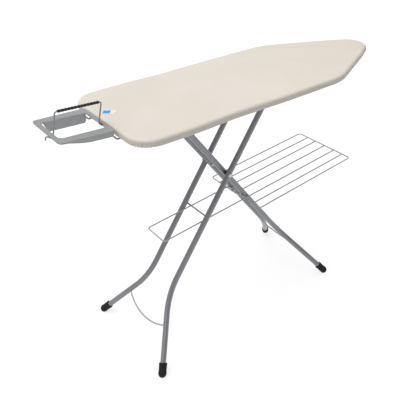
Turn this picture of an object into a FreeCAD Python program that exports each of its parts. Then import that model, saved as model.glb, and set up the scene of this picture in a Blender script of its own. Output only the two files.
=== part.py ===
import FreeCAD, Part
import os
import Sketcher
from math import atan2, cos, radians, sin, sqrt, tan

# Folding ironing board, standing, nose towards +X.
# Origin on the floor under the middle of the whole object, +Z up, millimetres.
# Distances along the board are given from the cover's heel end.

Vec = FreeCAD.Vector
doc = FreeCAD.newDocument("IroningBoard")
sheet = doc.addObject("Spreadsheet::Sheet", "Dimensions")

# ---------------------------------------------------------------- driving dimensions
driving = {
    # board
    "originFromHeel": 527.55,
    "boardLength": 1254.0,
    "heelHalfWidth": 227.5,
    "heelCorner": 80.0,
    "bulgeFromHeel": 205.0,
    "bulgeHalfWidth": 232.0,
    "bulgeRadius": 500.0,
    "waistFromHeel": 375.0,
    "waistHalfWidth": 225.5,
    "waistRadius": 700.0,
    "hipFromHeel": 600.0,
    "hipHalfWidth": 232.5,
    "hipRadius": 1200.0,
    "shoulderFromHeel": 880.0,
    "shoulderHalfWidth": 231.5,
    "shoulderRadius": 230.0,
    "cheekFromHeel": 1140.0,
    "cheekHalfWidth": 107.5,
    "cheekRadius": 300.0,
    "noseRadius": 75.0,
    "coverTop": 986.0,
    "coverThick": 1.8,
    "coverDepth": 25.0,
    "feltThick": 4.0,
    "meshThick": 0.7,
    "rimInset": 2.6,
    "rimWidth": 14.0,
    "rimHeight": 16.0,
    "rimWall": 1.4,
    "braceWidth": 30.0,
    "braceHeight": 15.5,
    "heelBrace": 95.0,
    "slideBraceNear": 606.0,
    "slideBraceFar": 1012.0,
    # scissor legs
    "crossFromHeel": 455.8,
    "crossHeight": 642.3,
    "axleHeight": 955.0,
    "axleReach": 203.0,
    "innerLegAngle": 54.0,
    "outerLegAngle": 54.6,
    "tubeDiameter": 22.0,
    "tubeWall": 1.2,
    "innerTubeY": 41.0,
    "outerTubeY": 71.5,
    "legTopBeyondAxle": 12.0,
    "bendRadius": 265.0,
    "innerFootY": 199.0,
    "outerFootY": 222.5,
    "innerBendAt": 500.0,
    "outerBendAt": 524.0,
    "footCentre": 15.0,
    "footDiameter": 31.5,
    "footLength": 54.0,
    "axleDiameter": 8.0,
    "runningGap": 0.05,
    "lugThick": 4.0,
    "lugRadius": 8.0,
    "bracketGap": 2.0,
    "bracketThick": 3.0,
    "bowDiameter": 6.0,
    "outerBowDown": 625.0,
    "outerBowApex": 661.0,
    "outerBowHalf": 128.0,
    "innerBowDown": 590.0,
    "innerBowApex": 620.0,
    "innerBowHalf": 92.0,
    "boltHead": 15.0,
    "boltHeadThick": 3.5,
    "boltNut": 13.6,
    "boltNutThick": 5.0,
    "spacerDiameter": 18.0,
    # slide rails
    "shoeDiameter": 14.0,
    "shoeWidth": 9.5,
    "railGap": 0.4,
    "railWall": 1.6,
    "railWebY": 100.0,
    "railLipY": 88.5,
    "railStart": 595.0,
    "railEnd": 1024.0,
    # linen rack
    "rackHingeDown": 175.0,
    "rackHingeOffset": 17.5,
    "rackTilt": 4.27,
    "rackLength": 530.0,
    "rackHalfWidth": 152.6,
    "rackLoopY": 56.25,
    "rackMidY": 105.0,
    "rackLoopReach": 386.0,
    "rackWire": 5.0,
    "rackFrameBend": 12.0,
    "rackLoopBend": 11.0,
    "rackRodDown": 189.0,
    "rackRodOffset": 15.0,
    "rackRodDiameter": 6.0,
    "strapThick": 1.5,
    "strapWidth": 20.0,
    "strapEnd": 9.0,
    "strapEyeY": 21.0,
    "strapEyeLength": 14.0,
    "strapNotch": 9.0,
    # steam unit holder
    "holderTilt": 3.4,
    "holderHeight": 990.0,
    "holderGap": 8.0,
    "holderLength": 180.0,
    "holderHalfNear": 105.0,
    "holderHalfFar": 98.0,
    "holderSheet": 1.5,
    "holderCorner": 14.0,
    "openingFar": 165.0,
    "openingNear": 10.0,
    "openingHalf": 68.0,
    "openingCorner": 16.0,
    "outerLip": 19.0,
    "innerLipRear": 35.0,
    "innerLipFront": 13.0,
    "rodDiameter": 5.6,
    "rodY": 94.0,
    "rodDipHeight": 953.4,
    "rodGap": 0.05,
    "saddleWall": 1.6,
    "bailWire": 4.5,
    "bailAxisY": 20.0,
    "bailAxisDrop": 8.0,
    "bailFar": 162.0,
    "bailNear": 13.0,
    "bailLeanY": 45.0,
    "bailTop": 76.0,
    "sleeveDiameter": 9.5,
    "sleeveLength": 134.0,
    # height latch
    "latchPivotFromHeel": 985.0,
    "latchPivotHeight": 965.5,
    "latchLift": 1.8,
    "latchThick": 3.0,
    "latchHeight": 12.0,
    "latchPin": 5.0,
    "latchHandleAt": 100.0,
    "latchHandleRise": 12.1,
    "latchNotchPitch": 44.0,
    "handleDiameter": 5.0,
    "handleReach": 196.0,
    "gripLength": 44.0,
    "gripWidth": 32.0,
    "gripThick": 7.6,
    # woven patch on the cover
    "labelLength": 40.0,
    "labelWidth": 26.0,
    "labelThick": 0.5,
    "labelFromHeel": 44.0,
    "labelY": 33.0,
    "labelTurn": -40.0,
}
for row, (alias, value) in enumerate(driving.items(), start=1):
    sheet.set("A%d" % row, alias)
    sheet.set("B%d" % row, str(value))
    sheet.setAlias("B%d" % row, alias)
doc.recompute()

size = {alias: float(sheet.get(alias)) for alias in driving}


def fromHeel(x):
    """Row x of a distance from the heel end."""
    return x - size["originFromHeel"]


nodes = []


def keep(item, label):
    item.Label = label
    nodes.append(item)
    return item


def bind(item, **sizes):
    for name, expression in sizes.items():
        item.setExpression(name, expression)
    return item


def solid(label, shape):
    """Keep a shape made with Part's own functions as a sub-part."""
    item = doc.addObject("Part::Feature", label)
    item.Shape = shape
    return keep(item, label)


# ---------------------------------------------------------------- shape helpers
def roundedPath(points, radii):
    """Straight runs joined by tangent arcs, as one wire."""
    edges = []
    last = points[0]
    for corner in range(1, len(points) - 1):
        here = points[corner]
        back = (points[corner - 1] - here).normalize()
        ahead = (points[corner + 1] - here).normalize()
        half = back.getAngle(ahead) / 2
        radius = radii[corner - 1]
        run = radius / tan(half)
        start = here + back * run
        end = here + ahead * run
        centre = here + (back + ahead).normalize() * (radius / sin(half))
        middle = centre + (here - centre).normalize() * radius
        if (start - last).Length > 1e-6:
            edges.append(Part.LineSegment(last, start).toShape())
        edges.append(Part.Arc(start, middle, end).toShape())
        last = end
    if (points[-1] - last).Length > 1e-6:
        edges.append(Part.LineSegment(last, points[-1]).toShape())
    return Part.Wire(edges)


def wireRod(points, bend, diameter):
    """A round rod bent along the points with one bend radius or one for each corner."""
    radii = bend if isinstance(bend, list) else [bend] * (len(points) - 2)
    path = roundedPath(points, radii)
    start = points[0]
    section = Part.Wire([Part.makeCircle(diameter / 2, start, points[1] - start)])
    return path.makePipeShell([section], True, False)


def bar(start, end, diameter):
    return Part.makeCylinder(diameter / 2, (end - start).Length, start, end - start)


def block(lowX, highX, lowY, highY, lowZ, highZ):
    return Part.makeBox(highX - lowX, highY - lowY, highZ - lowZ, Vec(lowX, lowY, lowZ))


def prism(points, direction):
    """A flat outline with straight sides, pushed along a direction."""
    return Part.Face(Part.makePolygon(points + [points[0]])).extrude(direction)


def drum(diameter, length, start, direction):
    """A round solid from its start along a direction."""
    return Part.makeCylinder(diameter / 2, length, start, direction)


acrossRear = Vec(0, 1, 0)


def onSide(shape, side):
    """A piece drawn at the rear (+Y), mirrored when it belongs at the front (-Y)."""
    return shape if side > 0 else shape.mirror(Vec(0, 0, 0), acrossRear)


# ---------------------------------------------------------------- board outline
def boardOutline():
    """Plan outline of the cover: blunt heel, slight waist, straight taper, round nose."""
    turns = ["bulge", "waist", "hip", "shoulder", "cheek"]
    corners = [Vec(0, 0, 0), Vec(0, size["heelHalfWidth"], 0)]
    corners += [Vec(size[turn + "FromHeel"], size[turn + "HalfWidth"], 0) for turn in turns]
    # the last straight run touches the nose circle
    noseCentre = Vec(size["boardLength"] - size["noseRadius"], 0, 0)
    toCentre = noseCentre - corners[-1]
    along = sqrt(toCentre.Length ** 2 - size["noseRadius"] ** 2)
    dip = toCentre.getAngle(Vec(1, 0, 0)) - atan2(size["noseRadius"], along)
    touch = corners[-1] + Vec(cos(dip), -sin(dip), 0) * along
    radii = [size["heelCorner"]] + [size[turn + "Radius"] for turn in turns]
    edges = list(roundedPath(corners + [touch], radii).Edges)
    mirrored = [edge.mirror(Vec(0, 0, 0), Vec(0, 1, 0)) for edge in edges]
    tip = Vec(size["boardLength"], 0, 0)
    nose = Part.Arc(touch, tip, Vec(touch.x, -touch.y, 0)).toShape()
    item = doc.addObject("Part::Feature", "boardOutline")
    item.Shape = Part.Wire(Part.__sortEdges__(edges + [nose] + mirrored))
    item.Placement.Base = Vec(fromHeel(0), 0, 0)
    return item


outline = boardOutline()


def insetSlab(name, inset, low, height):
    """The board outline drawn in by an inset and raised into a slab."""
    source = outline
    if inset:
        source = doc.addObject("Part::Offset2D", name + "Outline")
        source.Source = outline
        bind(source, Value="-(%s)" % inset)
    slab = doc.addObject("Part::Extrusion", name)
    slab.Base = source
    slab.DirMode = "Custom"
    slab.Dir = Vec(0, 0, 1)
    slab.Solid = True
    bind(slab, LengthFwd=height)
    slab.Placement.Base = Vec(0, 0, low)
    return slab


def cutOf(name, base, tool):
    cut = doc.addObject("Part::Cut", name)
    cut.Base = base
    cut.Tool = tool
    return cut


D = "Dimensions."
coverInner = size["coverTop"] - size["coverThick"]
feltLow = coverInner - size["feltThick"]
meshLow = feltLow - size["meshThick"]
rimLow = meshLow - size["rimHeight"]
braceLow = meshLow - size["braceHeight"]


def labelBlock(name):
    """The woven patch near the heel, its face level with the cover's."""
    patch = doc.addObject("Part::Box", name)
    bind(patch, Length=D + "labelLength", Width=D + "labelWidth", Height=D + "labelThick")
    turn = FreeCAD.Rotation(Vec(0, 0, 1), size["labelTurn"])
    corner = turn.multVec(Vec(-size["labelLength"] / 2, -size["labelWidth"] / 2, 0))
    middle = Vec(fromHeel(size["labelFromHeel"]), size["labelY"], size["coverTop"] - size["labelThick"])
    patch.Placement = FreeCAD.Placement(middle + corner, turn)
    return patch


def fabricCover():
    """Cotton cover, with a shallow seat for the patch."""
    low = size["coverTop"] - size["coverDepth"]
    outer = insetSlab("coverOutside", "", low, D + "coverDepth")
    inner = insetSlab("coverInside", D + "coverThick", low, D + "coverDepth - " + D + "coverThick")
    skirted = cutOf("coverShell", outer, inner)
    return keep(cutOf("fabricCover", skirted, labelBlock("labelSeat")), "fabric_cover")


def feltPad():
    return keep(insetSlab("feltPad", D + "coverThick + 0.3", feltLow, D + "feltThick"), "felt_pad")


def meshTop():
    return keep(insetSlab("meshTop", D + "rimInset + 0.4", meshLow, D + "meshThick"), "mesh_top")


def rimFrame():
    """Rolled channel round the edge, open towards the middle."""
    outer = insetSlab("rimOutside", D + "rimInset", rimLow, D + "rimHeight")
    inner = insetSlab("rimInside", D + "rimInset + " + D + "rimWidth", rimLow, D + "rimHeight")
    ring = cutOf("rimRing", outer, inner)
    groove = insetSlab("rimGroove", D + "rimInset + " + D + "rimWall",
                       rimLow + size["rimWall"], D + "rimHeight - 2 * " + D + "rimWall")
    return keep(cutOf("rimFrame", ring, groove), "rim_frame")


fabricCover()
keep(labelBlock("coverLabel"), "cover_label")
feltPad()
meshTop()
rimFrame()
doc.recompute()


def crossBrace(label, place):
    """A pressed channel from rim to rim, under the mesh."""
    half = size["braceWidth"] / 2
    middle = fromHeel(place)
    wide = size["hipHalfWidth"]
    wall = size["rimWall"]
    channel = block(middle - half, middle + half, -wide, wide, braceLow, meshLow)
    groove = block(middle - half + wall, middle + half - wall, -wide, wide,
                   braceLow + wall, meshLow)
    between = doc.getObject("rimInside").Shape
    return solid(label, channel.cut(groove).common(between))


# ---------------------------------------------------------------- scissor geometry
cross = Vec(fromHeel(size["crossFromHeel"]), 0, size["crossHeight"])
hingeAxle = Vec(cross.x - size["axleReach"], 0, size["axleHeight"])
slideAxle = Vec(cross.x + size["axleReach"], 0, size["axleHeight"])
tubeRadius = size["tubeDiameter"] / 2
axleRadius = size["axleDiameter"] / 2


class LegPlane:
    """The inclined plane that a pair of legs lies in."""

    def __init__(self, angle, towards):
        self.down = Vec(towards * cos(radians(angle)), 0, -sin(radians(angle)))
        self.upper = Vec(towards * sin(radians(angle)), 0, cos(radians(angle)))
        self.foot = (size["crossHeight"] - size["footCentre"]) / sin(radians(angle))

    def at(self, down, y=0.0, raised=0.0):
        return cross + self.down * down + self.upper * raised + Vec(0, y, 0)

    def offsets(self, point):
        gap = point - cross
        return gap.dot(self.down), gap.dot(self.upper)


innerPlane = LegPlane(size["innerLegAngle"], 1)
outerPlane = LegPlane(size["outerLegAngle"], -1)


def bentLeg(label, plane, axleAt, tubeY, bendAt, footY, side, boreDiameter):
    """A leg tube: straight down its plane, then bent outwards to its foot."""
    top = axleAt - size["legTopBeyondAxle"]
    splay = atan2(footY - tubeY, plane.foot - bendAt)
    run = size["bendRadius"] * tan(splay / 2)
    straight = bendAt - run - top
    radius = size["bendRadius"]
    last = (plane.foot - bendAt) / cos(splay) - run - 6.0
    body = doc.addObject("PartDesign::Body", label + "Body")
    planes = {item.Role: item for item in body.Origin.OriginFeatures}
    path = body.newObject("Sketcher::SketchObject", label + "Path")
    path.AttachmentSupport = [(planes["XZ_Plane"], "")]
    path.MapMode = "FlatFace"
    bendStart = Vec(0, straight, 0)
    bendEnd = Vec(radius - radius * cos(splay), straight + radius * sin(splay), 0)
    bendMiddle = Vec(radius - radius * cos(splay / 2), straight + radius * sin(splay / 2), 0)
    footEnd = bendEnd + Vec(sin(splay), cos(splay), 0) * last
    path.addGeometry(Part.LineSegment(Vec(0, 0, 0), bendStart), False)
    path.addGeometry(Part.Arc(bendStart, bendMiddle, bendEnd), False)
    path.addGeometry(Part.LineSegment(bendEnd, footEnd), False)
    ring = body.newObject("Sketcher::SketchObject", label + "Section")
    ring.AttachmentSupport = [(planes["XY_Plane"], "")]
    ring.MapMode = "FlatFace"
    inside = "tubeDiameter - 2 * " + D + "tubeWall"
    for role, diameter, radius in (("outside", "tubeDiameter", 9), ("inside", inside, 5)):
        circle = ring.addGeometry(Part.Circle(Vec(0, 0, 0), Vec(0, 0, 1), radius), False)
        mark = ring.addConstraint(Sketcher.Constraint("Diameter", circle, 2 * radius))
        ring.addConstraint(Sketcher.Constraint("Coincident", circle, 3, -1, 1))
        ring.renameConstraint(mark, role)
        ring.setExpression("Constraints." + role, D + diameter)
    doc.recompute()
    pipe = body.newObject("PartDesign::AdditivePipe", label + "Pipe")
    pipe.Profile = ring
    pipe.Spine = (path, ["Edge1", "Edge2", "Edge3"])
    doc.recompute()
    hole = body.newObject("Sketcher::SketchObject", label + "BoreSketch")
    hole.AttachmentSupport = [(planes["YZ_Plane"], "")]
    hole.MapMode = "FlatFace"
    hole.addGeometry(Part.Circle(Vec(0, -top, 0), Vec(0, 0, 1), boreDiameter / 2), False)
    doc.recompute()
    bore = body.newObject("PartDesign::Pocket", label + "Bore")
    bore.Profile = hole
    bore.Midplane = True
    bore.Length = 3 * size["tubeDiameter"]
    body.Tip = bore
    outwards = Vec(0, side, 0)
    across = plane.down.cross(outwards)
    turn = FreeCAD.Matrix(outwards.x, across.x, plane.down.x, 0,
                          outwards.y, across.y, plane.down.y, 0,
                          outwards.z, across.z, plane.down.z, 0,
                          0, 0, 0, 1)
    body.Placement = FreeCAD.Placement(plane.at(top, side * tubeY),
                                       FreeCAD.Placement(turn).Rotation)
    doc.recompute()
    return keep(body, label)


innerAxleDown, innerAxleRaised = innerPlane.offsets(hingeAxle)
outerAxleDown, outerAxleRaised = outerPlane.offsets(slideAxle)
boltBore = size["axleDiameter"] + 2 * size["runningGap"]
sides = (("rear", 1), ("front", -1))
for sideName, side in sides:
    bentLeg("inner_leg_" + sideName, innerPlane, innerAxleDown, size["innerTubeY"],
            size["innerBendAt"], size["innerFootY"], side, boltBore)
    bentLeg("outer_leg_" + sideName, outerPlane, outerAxleDown, size["outerTubeY"],
            size["outerBendAt"], size["outerFootY"], side, size["axleDiameter"])


def legDirection(plane, tubeY, bendAt, footY, side):
    """Direction of the splayed lower run, and where the foot's ball lies."""
    kink = plane.at(bendAt, side * tubeY)
    foot = plane.at(plane.foot, side * footY)
    return (foot - kink).normalize(), foot


def footCap(label, plane, tubeY, bendAt, footY, side):
    """Rubber cap: round end with a small flat to stand on."""
    direction, foot = legDirection(plane, tubeY, bendAt, footY, side)
    radius = size["footDiameter"] / 2
    barrel = size["footLength"] - radius
    body = drum(size["footDiameter"], barrel, foot - direction * barrel, direction)
    body = body.fuse(Part.makeSphere(radius, foot)).removeSplitter()
    socket = drum(size["tubeDiameter"], barrel + 10, foot - direction * (barrel + 16), direction)
    below = block(foot.x - 60, foot.x + 60, foot.y - 60, foot.y + 60, -40, 0)
    return solid(label, body.cut(socket).cut(below))


for sideName, side in sides:
    footCap("inner_foot_cap_" + sideName, innerPlane, size["innerTubeY"],
            size["innerBendAt"], size["innerFootY"], side)
    footCap("outer_foot_cap_" + sideName, outerPlane, size["outerTubeY"],
            size["outerBendAt"], size["outerFootY"], side)


def legLugs(label, plane, axle, tubeY, boreDiameter):
    """Welded ears that carry the axle on the upper face of both tubes."""
    down, raised = plane.offsets(axle)
    thick = size["lugThick"]
    half = size["lugRadius"]
    pair = []
    for side in (1, -1):
        base = plane.at(down, side * tubeY - thick / 2)
        eye = drum(2 * half, thick, base + plane.upper * raised, acrossRear)
        foot = prism([base - plane.down * half, base + plane.down * half,
                      base + plane.down * half + plane.upper * raised,
                      base - plane.down * half + plane.upper * raised], Vec(0, thick, 0))
        bore = drum(boreDiameter, 3 * thick,
                    base + plane.upper * raised - Vec(0, thick, 0), acrossRear)
        tube = bar(plane.at(down - 60, side * tubeY), plane.at(down + 60, side * tubeY),
                   size["tubeDiameter"])
        pair.append(eye.fuse(foot).cut(bore).cut(tube).removeSplitter())
    return solid(label, Part.makeCompound(pair))


legLugs("inner_leg_lugs", innerPlane, hingeAxle, size["innerTubeY"], boltBore)
legLugs("outer_leg_lugs", outerPlane, slideAxle, size["outerTubeY"], size["axleDiameter"])


def axle(label, centre, halfLength, height):
    """A plain axle across the board."""
    rod = doc.addObject("Part::Cylinder", label)
    bind(rod, Radius=D + "axleDiameter / 2")
    rod.Height = 2 * halfLength
    rod.Placement = FreeCAD.Placement(Vec(centre.x, halfLength, height),
                                      FreeCAD.Rotation(Vec(1, 0, 0), 90))
    return keep(rod, label)


bracketY = size["innerTubeY"] + tubeRadius + size["bracketGap"]
shoeStart = size["railLipY"] + 1.0
axle("hinge_axle", hingeAxle, bracketY + size["bracketThick"] + 1.5, size["axleHeight"])
axle("slide_axle", slideAxle, shoeStart + size["shoeWidth"], size["axleHeight"])


def hingeBracket(label, side):
    """Plate that hangs the hinge axle from its cross brace."""
    half = size["lugRadius"]
    thick = size["bracketThick"]
    start = Vec(hingeAxle.x, bracketY, size["axleHeight"])
    plate = block(start.x - half, start.x + half, bracketY, bracketY + thick, start.z, braceLow)
    eye = drum(2 * half, thick, start, acrossRear)
    bore = drum(size["axleDiameter"], thick, start, acrossRear)
    return solid(label, onSide(plate.fuse(eye).cut(bore).removeSplitter(), side))


for sideName, side in sides:
    hingeBracket("hinge_bracket_" + sideName, side)
crossBrace("heel_brace", size["heelBrace"])
crossBrace("hinge_brace", hingeAxle.x + size["originFromHeel"])
crossBrace("slide_brace_near", size["slideBraceNear"])
crossBrace("slide_brace_far", size["slideBraceFar"])


def slideRail(label, side):
    """Channel, open towards the middle, that the slide axle's shoe runs in."""
    halfHeight = size["shoeDiameter"] / 2 + size["railGap"]
    wall = size["railWall"]
    middle = size["axleHeight"]
    low = fromHeel(size["railStart"])
    high = fromHeel(size["railEnd"])
    outer = block(low, high, size["railLipY"], size["railWebY"] + wall,
                  middle - halfHeight - wall, middle + halfHeight + wall)
    inner = block(low, high, size["railLipY"], size["railWebY"],
                  middle - halfHeight, middle + halfHeight)
    return solid(label, onSide(outer.cut(inner), side))


def slideShoe(label, side):
    """Round nylon shoe on the end of the slide axle."""
    start = Vec(slideAxle.x, shoeStart, slideAxle.z)
    shoe = drum(size["shoeDiameter"], size["shoeWidth"], start, acrossRear)
    bore = drum(size["axleDiameter"], size["shoeWidth"], start, acrossRear)
    return solid(label, onSide(shoe.cut(bore), side))


for sideName, side in sides:
    slideRail("slide_rail_" + sideName, side)
    slideShoe("slide_shoe_" + sideName, side)


# ---------------------------------------------------------------- pivots and bows
def pivotBolts():
    """The two bolts that the legs cross on: shank, outer head and inner nut."""
    inside = size["innerTubeY"] - tubeRadius - 0.5
    outside = size["outerTubeY"] + tubeRadius
    nutThick = size["boltNutThick"]
    beyondNut = 1.0
    inner = cross + Vec(0, inside - nutThick, 0)
    length = outside - inside + nutThick + beyondNut + 2.0
    shank = drum(size["axleDiameter"], length, inner - Vec(0, beyondNut, 0), acrossRear)
    head = drum(size["boltHead"], size["boltHeadThick"], cross + Vec(0, outside, 0), acrossRear)
    nut = drum(size["boltNut"], nutThick, inner, acrossRear)
    bolt = shank.fuse(head).fuse(nut).removeSplitter()
    return solid("pivot_bolts", Part.makeCompound([onSide(bolt, 1), onSide(bolt, -1)]))


def pivotSpacers():
    """Nylon spacers that keep the crossing tubes apart."""
    start = size["innerTubeY"] + tubeRadius + 0.3
    length = size["outerTubeY"] - tubeRadius - start - 0.1
    ring = drum(size["spacerDiameter"], length, cross + Vec(0, start, 0), acrossRear)
    bore = drum(size["axleDiameter"], length, cross + Vec(0, start, 0), acrossRear)
    spacer = ring.cut(bore)
    return solid("pivot_spacers", Part.makeCompound([onSide(spacer, 1), onSide(spacer, -1)]))


pivotBolts()
pivotSpacers()


def legBow(pair, plane):
    """A bowed wire between a pair of legs, lying in their plane."""
    down, apex, halfSpan, bendAt, tubeY, footY = [
        size[pair + name] for name in ("BowDown", "BowApex", "BowHalf", "BendAt", "TubeY", "FootY")]
    bow = Part.Arc(plane.at(down, -halfSpan), plane.at(apex, 0), plane.at(down, halfSpan))
    path = Part.Wire([bow.toShape()])
    start = path.Edges[0].valueAt(path.Edges[0].FirstParameter)
    along = path.Edges[0].tangentAt(path.Edges[0].FirstParameter)
    section = Part.Wire([Part.makeCircle(size["bowDiameter"] / 2, start, along)])
    wire = path.makePipeShell([section], True, False)
    for side in (1, -1):
        direction, foot = legDirection(plane, tubeY, bendAt, footY, side)
        wire = wire.cut(bar(foot - direction * 220, foot, size["tubeDiameter"]))
    return solid(pair + "_bow", wire)


legBow("outer", outerPlane)
legBow("inner", innerPlane)


# ---------------------------------------------------------------- linen rack
rackAxis = innerPlane.at(size["rackHingeDown"], 0, -size["rackHingeOffset"])
rackAlong = Vec(cos(radians(size["rackTilt"])), 0, sin(radians(size["rackTilt"])))
rackUp = Vec(-rackAlong.z, 0, rackAlong.x)


def onRack(along, y, raised=0.0):
    return rackAxis + rackAlong * along + rackUp * raised + Vec(0, y, 0)


def rackFrame():
    """Closed rectangle of wire; its heel-side run is the rack's hinge."""
    half = size["rackHalfWidth"]
    length = size["rackLength"]
    points = [onRack(0, 0), onRack(0, half), onRack(length, half), onRack(length, -half),
              onRack(0, -half), onRack(0, 0)]
    return solid("rack_frame_wire", wireRod(points, size["rackFrameBend"], size["rackWire"]))


def rackLoop():
    """Long hairpin under the frame: two drying wires joined at the heel end."""
    under = -size["rackWire"]
    half = size["rackLoopY"]
    length = size["rackLength"]
    reach = -size["rackLoopReach"]
    points = [onRack(length, half, under), onRack(reach, half, under),
              onRack(reach, -half, under), onRack(length, -half, under)]
    return solid("rack_loop_wire", wireRod(points, size["rackLoopBend"], size["rackWire"]))


def rackMiddleWires():
    """Straight drying wires welded under the frame."""
    under = -size["rackWire"]
    wires = [bar(onRack(0, y, under), onRack(size["rackLength"], y, under), size["rackWire"])
             for y in (-size["rackMidY"], 0.0, size["rackMidY"])]
    return solid("rack_middle_wires", Part.makeCompound(wires))


rackFrame()
rackLoop()
rackMiddleWires()


def strapPlate(nearDown, farDown, halfWide, upper, lower):
    """Block across the inner legs, given by its two ends along them and its two faces."""
    corners = [innerPlane.at(nearDown, -halfWide, upper), innerPlane.at(farDown, -halfWide, upper),
               innerPlane.at(farDown, -halfWide, lower), innerPlane.at(nearDown, -halfWide, lower)]
    return prism(corners, Vec(0, 2 * halfWide, 0))


def rackStrap():
    """Zinc hinge strap across the inner legs, with eyes round the rack's hinge wire."""
    down = size["rackHingeDown"]
    half = size["strapWidth"] / 2
    reach = size["innerTubeY"] + size["strapEnd"]
    face = -tubeRadius
    back = face - size["strapThick"]
    plate = strapPlate(down - half, down + half, reach, face, back)
    eyeRadius = size["rackWire"] / 2 + 2.0
    eyeLength = size["strapEyeLength"]
    for side in (1, -1):
        middle = Vec(0, side * size["strapEyeY"], 0)
        eye = drum(2 * eyeRadius, eyeLength, rackAxis + middle - Vec(0, eyeLength / 2, 0), acrossRear)
        neck = strapPlate(down - eyeRadius, down + eyeRadius, eyeLength / 2,
                          face, -size["rackHingeOffset"])
        neck.translate(middle)
        plate = plate.fuse(eye).fuse(neck)
    # open notch that the rack's centre wire passes through
    notch = strapPlate(down - 3.0, down + half + 1, size["strapNotch"] / 2, face + 1, back - 1)
    bore = drum(size["rackWire"] + 2 * size["runningGap"], 2 * reach, rackAxis - Vec(0, reach, 0), acrossRear)
    return solid("rack_hinge_strap", plate.cut(notch).cut(bore).removeSplitter())


def strapRivets():
    """Rivets that hold the strap to the tubes."""
    back = -tubeRadius - size["strapThick"]
    starts = [innerPlane.at(size["rackHingeDown"], side * size["innerTubeY"], back) for side in (1, -1)]
    heads = [drum(8.0, 1.8, start, innerPlane.upper * -1) for start in starts]
    return solid("strap_rivets", Part.makeCompound(heads))


rackStrap()
strapRivets()


def rackHoldRod():
    """Rod between the outer legs that the rack's hairpin bears up against."""
    y = size["outerTubeY"]
    down = size["rackRodDown"]
    away = -size["rackRodOffset"]
    points = [outerPlane.at(down, -y, 0), outerPlane.at(down, -y + 1.0, away),
              outerPlane.at(down, y - 1.0, away), outerPlane.at(down, y, 0)]
    rod = wireRod(points, 5.0, size["rackRodDiameter"])
    for side in (1, -1):
        tube = bar(outerPlane.at(0, side * y), outerPlane.at(400, side * y), size["tubeDiameter"])
        rod = rod.cut(tube)
    return solid("rack_hold_rod", rod)


rackHoldRod()

# ---------------------------------------------------------------- steam unit holder
holderPlacement = FreeCAD.Placement(
    Vec(fromHeel(-size["holderGap"]), 0, size["holderHeight"]),
    FreeCAD.Rotation(Vec(0, 1, 0), size["holderTilt"]))


def onHolder(x, y, z):
    """Row position of a place on the holder: x from its board end, z from its top."""
    return holderPlacement.multVec(Vec(x, y, z))


def onHolderSolid(label, shape):
    """Keep a sub-part that is drawn in the holder's own tilted frame."""
    item = doc.addObject("Part::Feature", label)
    item.Shape = shape
    item.Placement = holderPlacement
    return keep(item, label)


def roundedLoop(corners, radius):
    """Closed outline with all corners rounded."""
    middle = (corners[0] + corners[-1]) * 0.5
    loop = roundedPath([middle] + corners + [middle], [radius] * len(corners))
    return Part.Wire(Part.__sortEdges__(loop.Edges))


def holderFrame():
    """Pressed steel frame: flat band, shallow outer lip, inner lips deeper at the rear."""
    near = size["holderHalfNear"]
    far = size["holderHalfFar"]
    length = size["holderLength"]
    sheetThick = size["holderSheet"]
    rim = roundedLoop([Vec(2, near, 0), Vec(-length, far, 0), Vec(-length, -far, 0), Vec(2, -near, 0)],
                      size["holderCorner"])
    gap = size["openingHalf"]
    nearX = -size["openingNear"]
    farX = -size["openingFar"]
    mouth = roundedLoop([Vec(nearX, gap, 0), Vec(farX, gap, 0), Vec(farX, -gap, 0), Vec(nearX, -gap, 0)],
                        size["openingCorner"])
    opening = Part.Face(mouth).extrude(Vec(0, 0, -60))
    top = Part.Face(rim).extrude(Vec(0, 0, -sheetThick))
    lip = size["outerLip"]
    shell = Part.Face(rim).extrude(Vec(0, 0, -lip))
    core = Part.Face(rim).makeOffset2D(-sheetThick).extrude(Vec(0, 0, -lip))
    # side view of the lip: deep beside the board, running out towards the far end
    sideView = [(10, 0), (-length - 5, 0), (-length - 5, -4), (-150, -7), (-108, -lip + 3),
                (-80, -lip), (-8, -lip), (-6, -4), (10, -4)]
    wide = 2 * near
    skirt = shell.cut(core).common(prism([Vec(x, -wide, z) for x, z in sideView], Vec(0, 2 * wide, 0)))
    frame = top.fuse(skirt)
    for y, deep in ((gap, size["innerLipRear"]), (-gap - sheetThick, size["innerLipFront"])):
        profile = [Vec(-13, y, 0), Vec(-157, y, 0), Vec(-157, y, -2), Vec(-146, y, -deep * 0.7),
                   Vec(-136, y, -deep), Vec(-19, y, -deep), Vec(-13, y, -deep + 6)]
        frame = frame.fuse(prism(profile, Vec(0, sheetThick, 0)))
    return onHolderSolid("holder_frame", frame.cut(opening).removeSplitter())


def holderRod(label, side):
    """Support rod: out of the holder, a dip below the board's heel, then under the board."""
    y = side * size["rodY"]
    half = size["rodDiameter"] / 2
    under = braceLow - half - size["rodGap"]
    dip = size["rodDipHeight"]
    points = [onHolder(-88, y, -size["holderSheet"] - half), onHolder(-24, y, -size["holderSheet"] - half),
              onHolder(-9, y, -18), Vec(fromHeel(-3), y, dip), Vec(fromHeel(10), y, dip),
              Vec(fromHeel(24), y, under), Vec(fromHeel(size["heelBrace"] + 24), y, under)]
    return solid(label, wireRod(points, [14.0, 14.0, 6.0, 6.0, 12.0], size["rodDiameter"]))


def rodSaddles():
    """Saddles that clamp the rods under the heel brace."""
    pair = []
    middle = fromHeel(size["heelBrace"])
    half = size["rodDiameter"] / 2
    under = braceLow - half - size["rodGap"]
    for side in (1, -1):
        y = side * size["rodY"]
        strap = block(middle - 9, middle + 9, y - 13, y + 13, under - half - size["saddleWall"], braceLow)
        rod = bar(Vec(middle - 20, y, under), Vec(middle + 20, y, under), size["rodDiameter"])
        pair.append(strap.cut(rod))
    return solid("rod_saddles", Part.makeCompound(pair))


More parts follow.
